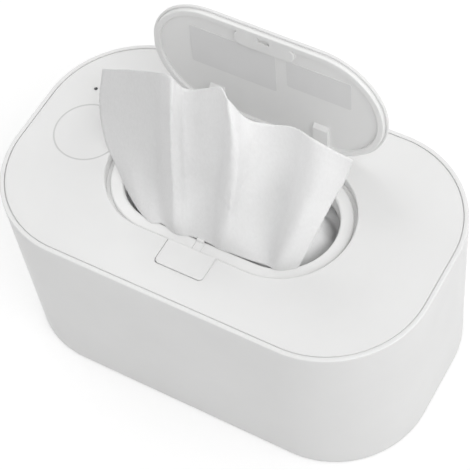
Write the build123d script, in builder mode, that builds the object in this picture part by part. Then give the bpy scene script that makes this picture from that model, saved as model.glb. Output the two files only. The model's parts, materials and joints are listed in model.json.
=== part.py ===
"""Baby wipe warmer: a tapered oval tub with a rear-hinged top cover, a flip lid over the
dispensing opening, a push-button latch, a heated inner tub and a stack of wipes.

Millimetres. X runs along the length, Y from front to rear and Z up. The origin is on the surface
that the feet stand on, under the middle of the body. The flip lid is drawn closed, on a frame
that is turned about its hinge to the open position in which the model rests.
"""

import os
from math import cos, hypot, pi, radians, sin, sqrt

from build123d import *

os.makedirs("parts", exist_ok=True)

# ---------------------------------------------------------------- body
body_length = 230.0
body_width = 135.8
body_height = 105.0
corner_radius = 52.6
end_taper = 2.3  # how far each end leans in from the rim down to the floor
side_taper = 0.4  # the same for the front and the rear
corner_taper = 2.4  # how much smaller the corner radius is at the floor
wall = 2.2
body_rim_round = 0.7
shell_bottom = 0.8
part_gap = 0.3  # between neighbouring mouldings that are fixed together
seam_gap = 0.4  # between the body's rim and the cover that swings inside it
screw_fit = 0.04  # between a screw and its hole

# ---------------------------------------------------------------- floor, feet and screws
floor_bottom = 1.2
floor_thickness = 2.2
foot_radius = 7.0
foot_recess = 0.6
foot_from_end = 29.0
foot_from_side = 36.9
base_screw_from_end = 55.0
base_screw_from_side = 19.9
boss_radius = 4.0
boss_height = 16.0
boss_seat = 6.0  # height of the joint between floor pad and shell boss
pad_radius = 5.5
rib = 1.6
screw_head_radius = 2.8
screw_head_height = 1.8
screw_shank_radius = 1.4
screw_cross = 0.7
base_screw_length = 12.0

# ---------------------------------------------------------------- inner tub and heater
flange_to_rim = 13.0  # heights named so are measured down from the body's rim
flange_thickness = 2.0
ledge_width = 3.0
ledge_thickness = 3.0
tub_from_end = 12.0
tub_from_side = 11.9
tub_corner = 44.0
tub_wall = 1.8
tub_draft = 2.0
tub_floor_top = 26.0
tub_floor_round = 6.0
heater_from_end = 28.0  # from the tub's inside
heater_from_side = 14.0
heater_corner = 20.0
plate_thickness = 1.2
film_thickness = 0.6
film_margin = 5.0
insulation_thickness = 4.0
sensor_window_length = 34.0
sensor_window_width = 16.0
fuse_radius = 1.7
fuse_length = 11.0
fuse_lead_radius = 0.4
sensor_gap = 5.0  # each sensor lies this far to its side of the window's centre line
thermistor_radius = 1.2
thermistor_length = 5.0
prop_from_end = 25.0  # from the heater's edge
prop_from_side = 20.0
prop_radius = 4.0

# ---------------------------------------------------------------- control board and inlet
board_length = 60.0
board_width = 30.0
board_thickness = 1.6
board_bottom = 7.4
board_to_wall = 2.4
board_post_x = 25.0
board_post_y = 10.0
board_post_radius = 2.6
chip_size = 9.0
chip_height = 1.2
relay_length = 16.0
relay_width = 8.0
relay_height = 6.5
connector_length = 7.0
connector_width = 5.0
connector_height = 4.0
capacitor_radius = 2.5
capacitor_height = 7.0
board_screw_radius = 1.1
board_screw_head = 2.1
board_screw_length = 4.5
socket_width = 9.0
socket_height = 3.2
socket_wall = 0.3
socket_depth = 7.4
socket_tongue = 0.7
inlet_margin = 0.3
inlet_dish = 0.8
inlet_dish_margin = 2.6

# ---------------------------------------------------------------- top cover
panel_thickness = 2.2
panel_round = 0.5
skirt_thickness = 1.7
skirt_step = 0.3  # the skirt stands this far inside the cover's edge
skirt_depth = 8.4
frame_thickness = 1.8
frame_to_rim = 8.4
recess_length = 131.2
recess_width = 72.0
recess_round = 0.8
recess_wall = 1.6
opening_length = 114.0
opening_width = 55.2
ring_to_rim = 4.6
ring_margin = 6.8  # from the opening out to the ring's shoulder
ring_round = 1.2
chute_to_rim = 16.0
chute_wall = 1.8
seal_inset = 8.0
seal_width = 3.0
seal_clearance = 0.3  # over the tub's flange when the cover is shut
cover_screw_radius = 1.1
cover_screw_head = 2.1
cover_screw_length = 5.0
cover_boss_radius = 2.6
cover_screw_from_end = 31.0
cover_screw_from_side = 31.9
cover_screw_mid_x = 24.0
cover_screw_mid_from_side = 15.9

# ---------------------------------------------------------------- touch dish and indicator
dish_to_recess = 0.4
dish_y = 1.3
dish_radius = 17.0
dish_depth = 1.1
indicator_beside_dish = 10.9
indicator_y = 26.6
indicator_radius = 0.9
touch_board_from_end = 14.0
touch_board_from_recess = 3.8
touch_board_width = 40.0
touch_board_thickness = 1.0
touch_board_y = 11.0
touch_chip = 5.0
indicator_gap = 0.1

# ---------------------------------------------------------------- rear hinge of the top cover
knuckle_radius = 2.2
hinge_stand_out = 0.4  # of the hinge axis behind the rim
cover_axis_drop = 1.0  # below the rim, high enough for the cover's edge to clear the rim as it swings
cover_pin_radius = 1.0
cover_arm_x = 32.0
cover_arm_width = 15.3
cover_lug_width = 6.0
hinge_side_gap = 0.35
hinge_swing_gap = 0.4
lug_drop = 8.0
pin_fit = 0.03  # radial gap of a pin in its fixed lugs
pin_play = 0.07  # radial gap of a pin in the part that turns on it
pin_short = 0.2  # each pin end lies this far inside its lug

# ---------------------------------------------------------------- flip lid
lid_open_angle = 94.0
lid_axis_to_recess = 3.5
lid_axis_to_rim = 4.2
lid_gap = 1.3  # all round, between the lid and the recess
lid_skin = 1.2
lid_edge_depth = 1.8
lid_edge_width = 1.1
lid_round = 0.7
liner_gap = 0.1
liner_thickness = 1.0
rim_inset = 1.4
rim_width = 3.2
rim_depth = 3.9
rim_round = 0.5
catch_half_width = 16.0
catch_front_inset = 4.0
catch_length = 9.0
catch_round = 4.0
arm_x = 29.0
arm_width = 8.0
arm_thickness = 2.0
arm_reach = 6.2  # the gooseneck's inside radius about the hinge, clear of the recess edge
arm_boss_radius = 1.7
arm_foot_y = 16.0
arm_foot_clearance = 0.5  # over the ring when the lid is closed
arm_slot_gap = 0.5
arm_slot_side = 1.3
arm_strip = 2.0
lid_pin_radius = 0.9
lid_lug_radius = 1.8
lid_lug_width = 3.0
lid_side_gap = 0.35
lid_spring_space = 3.0
spring_wire = 0.25
lid_spring_radius = 1.4
lid_spring_turns = 3.25
lid_spring_leg = 4.3
lid_spring_tip = 2.2

# ---------------------------------------------------------------- latch
button_half_width = 13.2
button_front_y = -50.2
button_side_gap = 0.2
button_front_gap = 0.5
button_corner = 2.5
button_thickness = 2.1
button_round = 0.4
button_wall = 1.2
button_ear = 1.6
button_ear_thickness = 1.2
button_ear_front = -48.0
button_ear_rear = -40.0
latch_travel = 1.0
latch_clearance = 0.3
wedge_half_width = 2.6
wedge_tip_length = 1.5
wedge_lift = 0.5  # of the wedge's tip over the slider's window sill
slider_lift = 0.1
slider_top_gap = 0.1  # below the ring's surface
slider_half_width = 6.0
slider_front_y = -48.0
slider_step_y = -38.5
ramp_length = 3.5
ramp_height = 2.6
window_length = 4.5
guide_width = 1.5
guide_lip = 0.8
neck_half_width = 2.2
neck_gap = 0.15
hook_half_width = 1.8
hook_y = -28.3  # rear face of the hook's stem
hook_thickness = 1.0
hook_height = 2.0
barb_height = 0.6
barb_reach = 0.6
slot_half_width = 3.2
slot_front = -30.7
slot_rear = -27.6
slot_ledge = 0.6
slot_cavity = 0.7
slot_depth = 1.5
button_spring_x = 9.6
button_spring_y = -44.0
button_spring_radius = 1.6
button_spring_turns = 3
leaf_half_span = 9.0
leaf_rise = 4.0
leaf_thickness = 0.4
leaf_height = 1.6
stop_length = 3.0
stop_width = 1.6

# ---------------------------------------------------------------- wipes
stack_length = 150.0
stack_from_side = 9.0  # from the tub's inside
stack_corner = 8.0
stack_round = 3.0
stack_to_rim = 25.0
stack_lift = 0.3
sheet_thickness = 0.8
sheet_gap = 0.5
sheet_tail = 40.0
sheet_middle_rise = 68.0  # over the stack, where the wipe flares most to its left
sheet_peak_rise = 117.0
sheet_left_rise = 107.0  # the two free corners
sheet_right_rise = 99.0
sheet_peak_half = 20.0
sheet_foot_ends = (-40.0, 42.0)  # left and right edge at the foot, the middle and the top
sheet_middle_ends = (-56.0, 62.5)
sheet_top_ends = (-48.0, 77.0)
# folds from the left edge to the right: share of the width, y at the top and y at the foot
sheet_folds = (
    (0.0, -12.0, -16.0),
    (0.17, -13.0, -18.0),
    (0.28, -15.0, -19.0),
    (0.32, -5.0, -9.0),
    (0.5, -8.0, -14.0),
    (0.58, -16.5, -21.0),
    (0.66, -9.0, -16.0),
    (0.75, -4.0, -9.0),
    (0.89, -8.0, -17.0),
    (1.0, -4.0, -8.0),
)

# ---------------------------------------------------------------- derived heights and places
flange_top = body_height - flange_to_rim
frame_bottom = body_height - frame_to_rim
ring_top = body_height - ring_to_rim
chute_bottom = body_height - chute_to_rim
lid_axis_y = recess_width / 2 + lid_axis_to_recess
lid_axis_z = body_height - lid_axis_to_rim
stack_top = body_height - stack_to_rim
sheet_foot = stack_top + sheet_gap
sheet_middle = stack_top + sheet_middle_rise
sheet_peak = stack_top + sheet_peak_rise
sheet_left_top = stack_top + sheet_left_rise
sheet_right_top = stack_top + sheet_right_rise
foot_x = body_length / 2 - foot_from_end
foot_y = body_width / 2 - foot_from_side
base_screw_x = body_length / 2 - base_screw_from_end
base_screw_y = body_width / 2 - base_screw_from_side
tub_length = body_length - 2 * tub_from_end
tub_width = body_width - 2 * tub_from_side
heater_length = tub_length - 2 * heater_from_end
heater_width = tub_width - 2 * heater_from_side
prop_x = heater_length / 2 - prop_from_end
prop_y = heater_width / 2 - prop_from_side
stack_width = tub_width - 2 * stack_from_side
board_y = body_width / 2 - wall - board_to_wall - board_width / 2
cover_screw_x = body_length / 2 - cover_screw_from_end
cover_screw_y = body_width / 2 - cover_screw_from_side
cover_screw_mid_y = body_width / 2 - cover_screw_mid_from_side
dish_x = -recess_length / 2 - dish_to_recess - dish_radius
indicator_x = dish_x - indicator_beside_dish
touch_board_end = -body_length / 2 + touch_board_from_end
touch_board_start = -recess_length / 2 - recess_wall - touch_board_from_recess
touch_board_x = (touch_board_start + touch_board_end) / 2
touch_board_length = touch_board_start - touch_board_end
cover_axis_y = body_width / 2 + hinge_stand_out
panel_bottom = body_height - panel_thickness
panel_inset = wall + seam_gap
frame_top = frame_bottom + frame_thickness
skirt_inset = panel_inset + skirt_step
frame_inset = skirt_inset + skirt_thickness + part_gap
floor_top = floor_bottom + floor_thickness
tub_floor_bottom = tub_floor_top - tub_wall
plate_bottom = tub_floor_bottom - plate_thickness
film_bottom = plate_bottom - film_thickness
insulation_bottom = film_bottom - insulation_thickness
board_top = board_bottom + board_thickness
cover_axis_z = body_height - cover_axis_drop
lid_length = recess_length - 2 * lid_gap
lid_width = recess_width - 2 * lid_gap
pin_span = cover_arm_width + 2 * (hinge_side_gap + cover_lug_width)
liner_inset = lid_edge_width + liner_gap
liner_top = body_height - lid_skin
pan_face = liner_top - liner_thickness
arm_foot_face = ring_top + arm_foot_clearance
rim_face = body_height - rim_depth
rear_wall_y = body_width / 2 - wall / 2
slider_bottom = frame_top + slider_lift
slider_top = ring_top - slider_top_gap
button_bottom = body_height - button_thickness
hook_top = ring_top + hook_height


def outline_at(height, inset, mode=Mode.ADD):
    """The body's plan outline at a height, moved in by an inset."""
    share = (body_height - height) / body_height
    return RectangleRounded(
        body_length - 2 * (end_taper * share + inset),
        body_width - 2 * (side_taper * share + inset),
        corner_radius - corner_taper * share - inset,
        mode=mode,
    )


def stadium(length, width, margin, mode=Mode.ADD):
    """A straight-sided oval with a margin added all round."""
    return SlotOverall(length + 2 * margin, width + 2 * margin, mode=mode)


def stadium_edges(solid, height, length, width):
    """The edges at a height that lie on a straight-sided oval of this size."""

    def lies_on_it(edge):
        middle = edge.position_at(0.5)
        reach = max(abs(middle.X) - (length - width) / 2, 0)
        return abs(hypot(reach, middle.Y) - width / 2) < part_gap

    level = solid.edges().filter_by_position(Axis.Z, height - screw_fit, height + screw_fit)
    return level.filter_by(lies_on_it)


# The flip lid's frame: the closed lid's coordinates, turned about the lid's hinge.
turn_cos, turn_sin = cos(radians(lid_open_angle)), sin(radians(lid_open_angle))
lid_plane = Plane(
    origin=(
        0,
        lid_axis_y - lid_axis_y * turn_cos - lid_axis_z * turn_sin,
        lid_axis_z + lid_axis_y * turn_sin - lid_axis_z * turn_cos,
    ),
    x_dir=(1, 0, 0),
    z_dir=(0, turn_sin, turn_cos),
)

lid_axis = Axis(lid_plane.origin, lid_plane.z_dir)


def lid_side_plane(x):
    """A plane across the lid at a place along its length: local x is the lid's y, local y its z."""
    return Plane(
        origin=lid_plane.from_local_coords((x, 0, 0)),
        x_dir=lid_plane.y_dir,
        z_dir=(1, 0, 0),
    )


# ================================================================ body
with BuildPart() as outer_shell:
    with BuildSketch(Plane.XY.offset(shell_bottom)):
        outline_at(shell_bottom, 0)
    with BuildSketch(Plane.XY.offset(body_height)):
        outline_at(body_height, 0)
    loft(ruled=True)
    fillet(outer_shell.edges().group_by(Axis.Z)[-1], body_rim_round)
    with BuildSketch(Plane.XY.offset(shell_bottom)):
        outline_at(shell_bottom, wall)
    with BuildSketch(Plane.XY.offset(body_height)):
        outline_at(body_height, wall)
    loft(ruled=True, mode=Mode.SUBTRACT)
    # ledge that carries the inner tub
    with BuildSketch(Plane.XY.offset(flange_top - flange_thickness)):
        outline_at(flange_top, wall / 2)
        outline_at(flange_top, wall + ledge_width, mode=Mode.SUBTRACT)
    extrude(amount=-ledge_thickness)
    # screw bosses, each tied to the wall by a rib
    with BuildSketch(Plane.XY.offset(boss_seat)):
        with GridLocations(2 * base_screw_x, 2 * base_screw_y, 2, 2):
            Circle(boss_radius)
        with GridLocations(2 * base_screw_x, base_screw_y + rear_wall_y, 2, 2):
            Rectangle(rib, rear_wall_y - base_screw_y)
    extrude(amount=boss_height)
    with BuildSketch(Plane.XY.offset(boss_seat)):
        with GridLocations(2 * base_screw_x, 2 * base_screw_y, 2, 2):
            Circle(screw_shank_radius + screw_fit)
    extrude(amount=base_screw_length, mode=Mode.SUBTRACT)
    # lugs of the rear hinge
    for lug_x in (
        cover_arm_x - pin_span / 2,
        cover_arm_x + pin_span / 2 - cover_lug_width,
        -cover_arm_x - pin_span / 2,
        -cover_arm_x + pin_span / 2 - cover_lug_width,
    ):
        with BuildSketch(Plane.YZ.offset(lug_x)):
            with Locations((cover_axis_y, cover_axis_z)):
                Circle(knuckle_radius)
            Polygon(
                (rear_wall_y, body_height),
                (cover_axis_y, body_height),
                (cover_axis_y + knuckle_radius, cover_axis_z),
                (rear_wall_y, cover_axis_z - lug_drop),
                align=None,
            )
        extrude(amount=cover_lug_width)
    # notches in the rim for the cover's hinge arms
    with BuildSketch(Plane.XY.offset(body_height)):
        with Locations((cover_arm_x, cover_axis_y), (-cover_arm_x, cover_axis_y)):
            Rectangle(cover_arm_width + 2 * hinge_side_gap, 4 * knuckle_radius)
    extrude(amount=cover_axis_z - knuckle_radius - hinge_swing_gap - body_height, mode=Mode.SUBTRACT)
    for hinge_x in (-cover_arm_x, cover_arm_x):
        with BuildSketch(Plane.YZ.offset(hinge_x - pin_span / 2)):
            with Locations((cover_axis_y, cover_axis_z)):
                Circle(cover_pin_radius + pin_fit)
        extrude(amount=pin_span, mode=Mode.SUBTRACT)
    # power inlet: a shallow dish outside and the socket's hole through it
    with BuildSketch(Plane.XZ.offset(-body_width / 2)):
        with Locations((0, board_top + socket_height / 2)):
            SlotOverall(
                socket_width + 2 * inlet_dish_margin,
                socket_height + 2 * inlet_dish_margin,
            )
    extrude(amount=inlet_dish + side_taper, mode=Mode.SUBTRACT)
    with BuildSketch(Plane.XZ.offset(-body_width / 2)):
        with Locations((0, board_top + socket_height / 2)):
            SlotOverall(socket_width + 2 * inlet_margin, socket_height + 2 * inlet_margin)
    extrude(amount=2 * wall, mode=Mode.SUBTRACT)
outer_shell.part.label = "outer_shell"
export_step(outer_shell.part, "parts/outer_shell.step")


def tub_outline(height, inset, mode=Mode.ADD):
    """The inside plan outline of the tub at a height, moved in by an inset."""
    lean = tub_draft * (flange_top - height) / (flange_top - tub_floor_top)
    return RectangleRounded(
        tub_length - 2 * (lean + inset),
        tub_width - 2 * (lean + inset),
        tub_corner - lean - inset,
        mode=mode,
    )


def screw(place, head_radius, head_height, shank_radius, length, flip=False):
    """A pan-head screw with its seat at the place given, and a cross recess in its head."""
    turn = (180, 0, 0) if flip else (0, 0, 0)
    with Locations(Location(place, turn)):
        Cylinder(head_radius, head_height, align=(Align.CENTER, Align.CENTER, Align.MAX))
        Cylinder(shank_radius, length, align=(Align.CENTER, Align.CENTER, Align.MIN))
    with Locations(Location(place, turn) * Location((0, 0, -head_height))):
        Box(1.5 * head_radius, screw_cross, head_height, mode=Mode.SUBTRACT)
        Box(screw_cross, 1.5 * head_radius, head_height, mode=Mode.SUBTRACT)


# ================================================================ floor of the body
base_screw_seat = floor_bottom + screw_head_height + part_gap
with BuildPart() as bottom_cover:
    with BuildSketch(Plane.XY.offset(floor_bottom)):
        outline_at(floor_bottom, wall + part_gap)
    extrude(amount=floor_thickness)
    # stiffening ribs, heater props, board posts and screw pads
    with BuildSketch(Plane.XY.offset(floor_top)):
        with GridLocations(0, 2 * prop_y, 1, 2):
            Rectangle(2 * foot_x, rib)
        with GridLocations(2 * prop_x, 0, 2, 1):
            Rectangle(rib, 2 * prop_y)
    extrude(amount=floor_thickness)
    with BuildSketch(Plane.XY.offset(floor_top)):
        with GridLocations(2 * prop_x, 2 * prop_y, 2, 2):
            Circle(prop_radius)
    extrude(amount=insulation_bottom - floor_top)
    with BuildSketch(Plane.XY.offset(floor_top)):
        with Locations((0, board_y)):
            with GridLocations(2 * board_post_x, 2 * board_post_y, 2, 2):
                Circle(board_post_radius)
    extrude(amount=board_bottom - floor_top)
    with BuildSketch(Plane.XY.offset(floor_bottom)):
        with GridLocations(2 * base_screw_x, 2 * base_screw_y, 2, 2):
            Circle(pad_radius)
    extrude(amount=boss_seat - floor_bottom)
    with BuildSketch(Plane.XY.offset(floor_bottom)):
        with GridLocations(2 * base_screw_x, 2 * base_screw_y, 2, 2):
            Circle(screw_head_radius + part_gap)
    extrude(amount=base_screw_seat - floor_bottom, mode=Mode.SUBTRACT)
    with BuildSketch(Plane.XY.offset(floor_bottom)):
        with GridLocations(2 * base_screw_x, 2 * base_screw_y, 2, 2):
            Circle(screw_shank_radius + screw_fit)
    extrude(amount=boss_height, mode=Mode.SUBTRACT)
    with BuildSketch(Plane.XY.offset(board_bottom)):
        with Locations((0, board_y)):
            with GridLocations(2 * board_post_x, 2 * board_post_y, 2, 2):
                Circle(board_screw_radius + screw_fit)
    extrude(amount=-board_screw_length, mode=Mode.SUBTRACT)
    # recesses for the feet
    with BuildSketch(Plane.XY.offset(floor_bottom)):
        with GridLocations(2 * foot_x, 2 * foot_y, 2, 2):
            Circle(foot_radius + part_gap)
    extrude(amount=foot_recess, mode=Mode.SUBTRACT)
bottom_cover.part.label = "bottom_cover"
export_step(bottom_cover.part, "parts/bottom_cover.step")

with BuildPart() as rubber_feet:
    with BuildSketch():
        with GridLocations(2 * foot_x, 2 * foot_y, 2, 2):
            Circle(foot_radius)
    extrude(amount=floor_bottom + foot_recess)
    chamfer(rubber_feet.edges().group_by(Axis.Z)[0], part_gap)
rubber_feet.part.label = "rubber_feet"
export_step(rubber_feet.part, "parts/rubber_feet.step")

with BuildPart() as base_screws:
    for side in (-1, 1):
        for end in (-1, 1):
            screw(
                (end * base_screw_x, side * base_screw_y, base_screw_seat),
                screw_head_radius,
                screw_head_height,
                screw_shank_radius,
                base_screw_length,
            )
base_screws.part.label = "base_screws"
export_step(base_screws.part, "parts/base_screws.step")

# ================================================================ tub and heater
with BuildPart() as tub_cavity:
    with BuildSketch(Plane.XY.offset(tub_floor_top)):
        tub_outline(tub_floor_top, 0)
    with BuildSketch(Plane.XY.offset(flange_top)):
        tub_outline(flange_top, 0)
    loft(ruled=True)
    fillet(tub_cavity.edges().group_by(Axis.Z)[0], tub_floor_round)

with BuildPart() as inner_tub:
    with BuildSketch(Plane.XY.offset(tub_floor_bottom)):
        tub_outline(tub_floor_bottom, -tub_wall)
    with BuildSketch(Plane.XY.offset(flange_top)):
        tub_outline(flange_top, -tub_wall)
    loft(ruled=True)
    fillet(inner_tub.edges().group_by(Axis.Z)[0], tub_floor_round + tub_wall)
    with BuildSketch(Plane.XY.offset(flange_top)):
        outline_at(flange_top, wall + seam_gap)
    extrude(amount=-flange_thickness)
    add(tub_cavity.part, mode=Mode.SUBTRACT)
inner_tub.part.label = "inner_tub"
export_step(inner_tub.part, "parts/inner_tub.step")

with BuildPart() as heating_plate:
    with BuildSketch(Plane.XY.offset(plate_bottom)):
        RectangleRounded(heater_length, heater_width, heater_corner)
    extrude(amount=plate_thickness)
heating_plate.part.label = "heating_plate"
export_step(heating_plate.part, "parts/heating_plate.step")

with BuildPart() as heater_film:
    with BuildSketch(Plane.XY.offset(film_bottom)):
        RectangleRounded(
            heater_length - 2 * film_margin,
            heater_width - 2 * film_margin,
            heater_corner - film_margin,
        )
    extrude(amount=film_thickness)
heater_film.part.label = "heater_film"
export_step(heater_film.part, "parts/heater_film.step")

with BuildPart() as insulation_pad:
    with BuildSketch(Plane.XY.offset(insulation_bottom)):
        RectangleRounded(heater_length, heater_width, heater_corner)
        Rectangle(sensor_window_length, sensor_window_width, mode=Mode.SUBTRACT)
    extrude(amount=insulation_thickness)
insulation_pad.part.label = "insulation_pad"
export_step(insulation_pad.part, "parts/insulation_pad.step")

# both sensors lie against the film, in the window of the insulation
with BuildPart() as thermistor:
    with BuildSketch(Plane.YZ.offset(-thermistor_length / 2)):
        with Locations((-sensor_gap, film_bottom - thermistor_radius)):
            Circle(thermistor_radius)
    extrude(amount=thermistor_length)
    fillet(thermistor.edges(), thermistor_radius / 2)
thermistor.part.label = "thermistor"
export_step(thermistor.part, "parts/thermistor.step")

with BuildPart() as thermal_fuse:
    with BuildSketch(Plane.YZ.offset(-fuse_length / 2)):
        with Locations((sensor_gap, film_bottom - fuse_radius)):
            Circle(fuse_radius)
    extrude(amount=fuse_length)
    with BuildSketch(Plane.YZ.offset(-fuse_length)):
        with Locations((sensor_gap, film_bottom - fuse_radius)):
            Circle(fuse_lead_radius)
    extrude(amount=2 * fuse_length)
thermal_fuse.part.label = "thermal_fuse"
export_step(thermal_fuse.part, "parts/thermal_fuse.step")

# ================================================================ control board and inlet
with BuildPart() as control_board:
    with BuildSketch(Plane.XY.offset(board_bottom)):
        with Locations((0, board_y)):
            RectangleRounded(board_length, board_width, rib)
            with GridLocations(2 * board_post_x, 2 * board_post_y, 2, 2):
                Circle(board_screw_radius + screw_fit, mode=Mode.SUBTRACT)
    extrude(amount=board_thickness)
    # controller, relay, heater and sensor connectors, capacitors
    with BuildSketch(Plane.XY.offset(board_top)):
        with Locations((-chip_size, board_y - board_width / 6)):
            Rectangle(chip_size, chip_size)
    extrude(amount=chip_height)
    with BuildSketch(Plane.XY.offset(board_top)):
        with Locations((relay_length / 2 + rib, board_y - board_width / 4)):
            Rectangle(relay_length, relay_width)
    extrude(amount=relay_height)
    with BuildSketch(Plane.XY.offset(board_top)):
        for side in (-1, 1):
            with Locations((side * board_length / 4, board_y + board_width / 4)):
                Rectangle(connector_length, connector_width)
    extrude(amount=connector_height)
    with BuildSketch(Plane.XY.offset(board_top)):
        with Locations((0, board_y), (board_length / 4, board_y)):
            Circle(capacitor_radius)
    extrude(amount=capacitor_height)
control_board.part.label = "control_board"
export_step(control_board.part, "parts/control_board.step")

with BuildPart() as board_screws:
    for end in (-1, 1):
        for side in (-1, 1):
            screw(
                (end * board_post_x, board_y + side * board_post_y, board_top),
                board_screw_head,
                board_screw_radius,
                board_screw_radius,
                board_screw_length + board_thickness - part_gap,
                flip=True,
            )
board_screws.part.label = "board_screws"
export_step(board_screws.part, "parts/board_screws.step")

socket_middle = board_top + socket_height / 2
socket_front = body_width / 2 - side_taper - inlet_dish
with BuildPart() as power_socket:
    with BuildSketch(Plane.XZ.offset(-socket_front)):
        with Locations((0, socket_middle)):
            SlotOverall(socket_width, socket_height)
    extrude(amount=socket_depth)
    with BuildSketch(Plane.XZ.offset(-socket_front)):
        with Locations((0, socket_middle)):
            SlotOverall(socket_width - 2 * socket_wall, socket_height - 2 * socket_wall)
            Rectangle(socket_width / 2, socket_tongue, mode=Mode.SUBTRACT)
    extrude(amount=socket_depth - 2 * socket_wall, mode=Mode.SUBTRACT)
power_socket.part.label = "power_socket"
export_step(power_socket.part, "parts/power_socket.step")

# ================================================================ wipes in the tub
with BuildPart() as wipe_stack:
    with BuildSketch(Plane.XY.offset(tub_floor_top + stack_lift)):
        RectangleRounded(stack_length, stack_width, stack_corner)
    extrude(amount=stack_top - tub_floor_top - stack_lift)
    fillet(wipe_stack.edges().filter_by(Axis.Z, reverse=True), stack_round)
wipe_stack.part.label = "wipe_stack"
export_step(wipe_stack.part, "parts/wipe_stack.step")

with BuildPart() as cover_hinge_pins:
    for pin_x in (-cover_arm_x, cover_arm_x):
        with BuildSketch(Plane.YZ.offset(pin_x - pin_span / 2 + pin_short)):
            with Locations((cover_axis_y, cover_axis_z)):
                Circle(cover_pin_radius)
        extrude(amount=pin_span - 2 * pin_short)
cover_hinge_pins.part.label = "cover_hinge_pins"
export_step(cover_hinge_pins.part, "parts/cover_hinge_pins.step")

# ================================================================ top cover
arm_rear = lid_axis_y + arm_boss_radius + arm_slot_gap
arm_front = lid_axis_y - arm_reach - arm_thickness - arm_slot_gap


def arm_slots(mode=Mode.ADD):
    """Plan of the two openings that the flip lid's arms swing through."""
    with Locations((-arm_x, (arm_front + arm_rear) / 2), (arm_x, (arm_front + arm_rear) / 2)):
        Rectangle(arm_width + 2 * arm_slot_side, arm_rear - arm_front, mode=mode)


def cover_screw_places():
    """Plan places of the screws between the cover and its inner frame."""
    corners = [(x * cover_screw_x, y * cover_screw_y) for x in (-1, 1) for y in (-1, 1)]
    middles = [(x * cover_screw_mid_x, y * cover_screw_mid_y) for x in (-1, 1) for y in (-1, 1)]
    return corners + middles


dish_sphere = (dish_radius**2 + dish_depth**2) / (2 * dish_depth)
button_hole_front = button_front_y - button_front_gap
recess_front_y = -recess_width / 2

with BuildPart() as top_panel:
    with BuildSketch(Plane.XY.offset(panel_bottom)):
        outline_at(body_height, panel_inset)
    extrude(amount=panel_thickness)
    fillet(top_panel.edges().group_by(Axis.Z)[-1], panel_round)
    with BuildSketch(Plane.XY.offset(panel_bottom)):
        outline_at(body_height, skirt_inset)
        outline_at(body_height, skirt_inset + skirt_thickness, mode=Mode.SUBTRACT)
    extrude(amount=panel_thickness - skirt_depth)
    # recess over the dispensing opening, with its wall
    with BuildSketch(Plane.XY.offset(panel_bottom)):
        stadium(recess_length, recess_width, recess_wall)
    extrude(amount=frame_top - panel_bottom)
    with BuildSketch(Plane.XY.offset(body_height)):
        stadium(recess_length, recess_width, 0)
    extrude(amount=frame_top - body_height, mode=Mode.SUBTRACT)
    fillet(stadium_edges(top_panel, body_height, recess_length, recess_width), recess_round)
    with BuildSketch(Plane.XY.offset(panel_bottom)):
        arm_slots()
    extrude(amount=frame_top - panel_bottom, mode=Mode.SUBTRACT)
    # cut-out for the push button, open towards the recess
    with BuildSketch(Plane.XY.offset(body_height)):
        with Locations((0, (button_hole_front + lid_gap + recess_front_y / 2) / 2)):
            RectangleRounded(
                2 * (button_half_width + button_side_gap),
                recess_front_y / 2 + lid_gap - button_hole_front,
                button_corner,
            )
    extrude(amount=frame_top - body_height, mode=Mode.SUBTRACT)
    # bosses for the frame's screws
    with BuildSketch(Plane.XY.offset(panel_bottom)):
        with Locations(*cover_screw_places()):
            Circle(cover_boss_radius)
    extrude(amount=frame_top - panel_bottom)
    with BuildSketch(Plane.XY.offset(frame_top)):
        with Locations(*cover_screw_places()):
            Circle(cover_screw_radius + screw_fit)
    extrude(amount=cover_screw_length - frame_thickness + part_gap, mode=Mode.SUBTRACT)
    # touch dish and indicator
    with Locations((dish_x, dish_y, body_height - dish_depth + dish_sphere)):
        Sphere(dish_sphere, mode=Mode.SUBTRACT)
    with BuildSketch(Plane.XY.offset(body_height)):
        with Locations((indicator_x, indicator_y)):
            Circle(indicator_radius + indicator_gap)
    extrude(amount=-panel_thickness, mode=Mode.SUBTRACT)
    # hinge arms
    for arm_side in (-1, 1):
        with BuildSketch(Plane.YZ.offset(arm_side * cover_arm_x - cover_arm_width / 2)):
            with Locations((cover_axis_y, cover_axis_z)):
                Circle(knuckle_radius)
            Polygon(
                (rear_wall_y - 2 * panel_inset, panel_bottom),
                (cover_axis_y, panel_bottom),
                (cover_axis_y, body_height),
                (rear_wall_y - 2 * panel_inset, body_height),
                align=None,
            )
        extrude(amount=cover_arm_width)
        with BuildSketch(Plane.YZ.offset(arm_side * cover_arm_x - cover_arm_width / 2)):
            with Locations((cover_axis_y, cover_axis_z)):
                Circle(cover_pin_radius + pin_play)
        extrude(amount=cover_arm_width, mode=Mode.SUBTRACT)
top_panel.part.label = "top_panel"
export_step(top_panel.part, "parts/top_panel.step")

spring_seat_places = [(-button_spring_x, button_spring_y), (button_spring_x, button_spring_y)]
leaf_radius = (leaf_half_span**2 + leaf_rise**2) / (2 * leaf_rise)
leaf_front = slider_front_y - slider_lift
leaf_end = leaf_front - leaf_rise
guide_x = slider_half_width + latch_clearance
inner_lug_x = arm_x - arm_width / 2 - lid_side_gap - lid_spring_space - lid_lug_width
outer_lug_x = arm_x + arm_width / 2 + lid_side_gap

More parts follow.
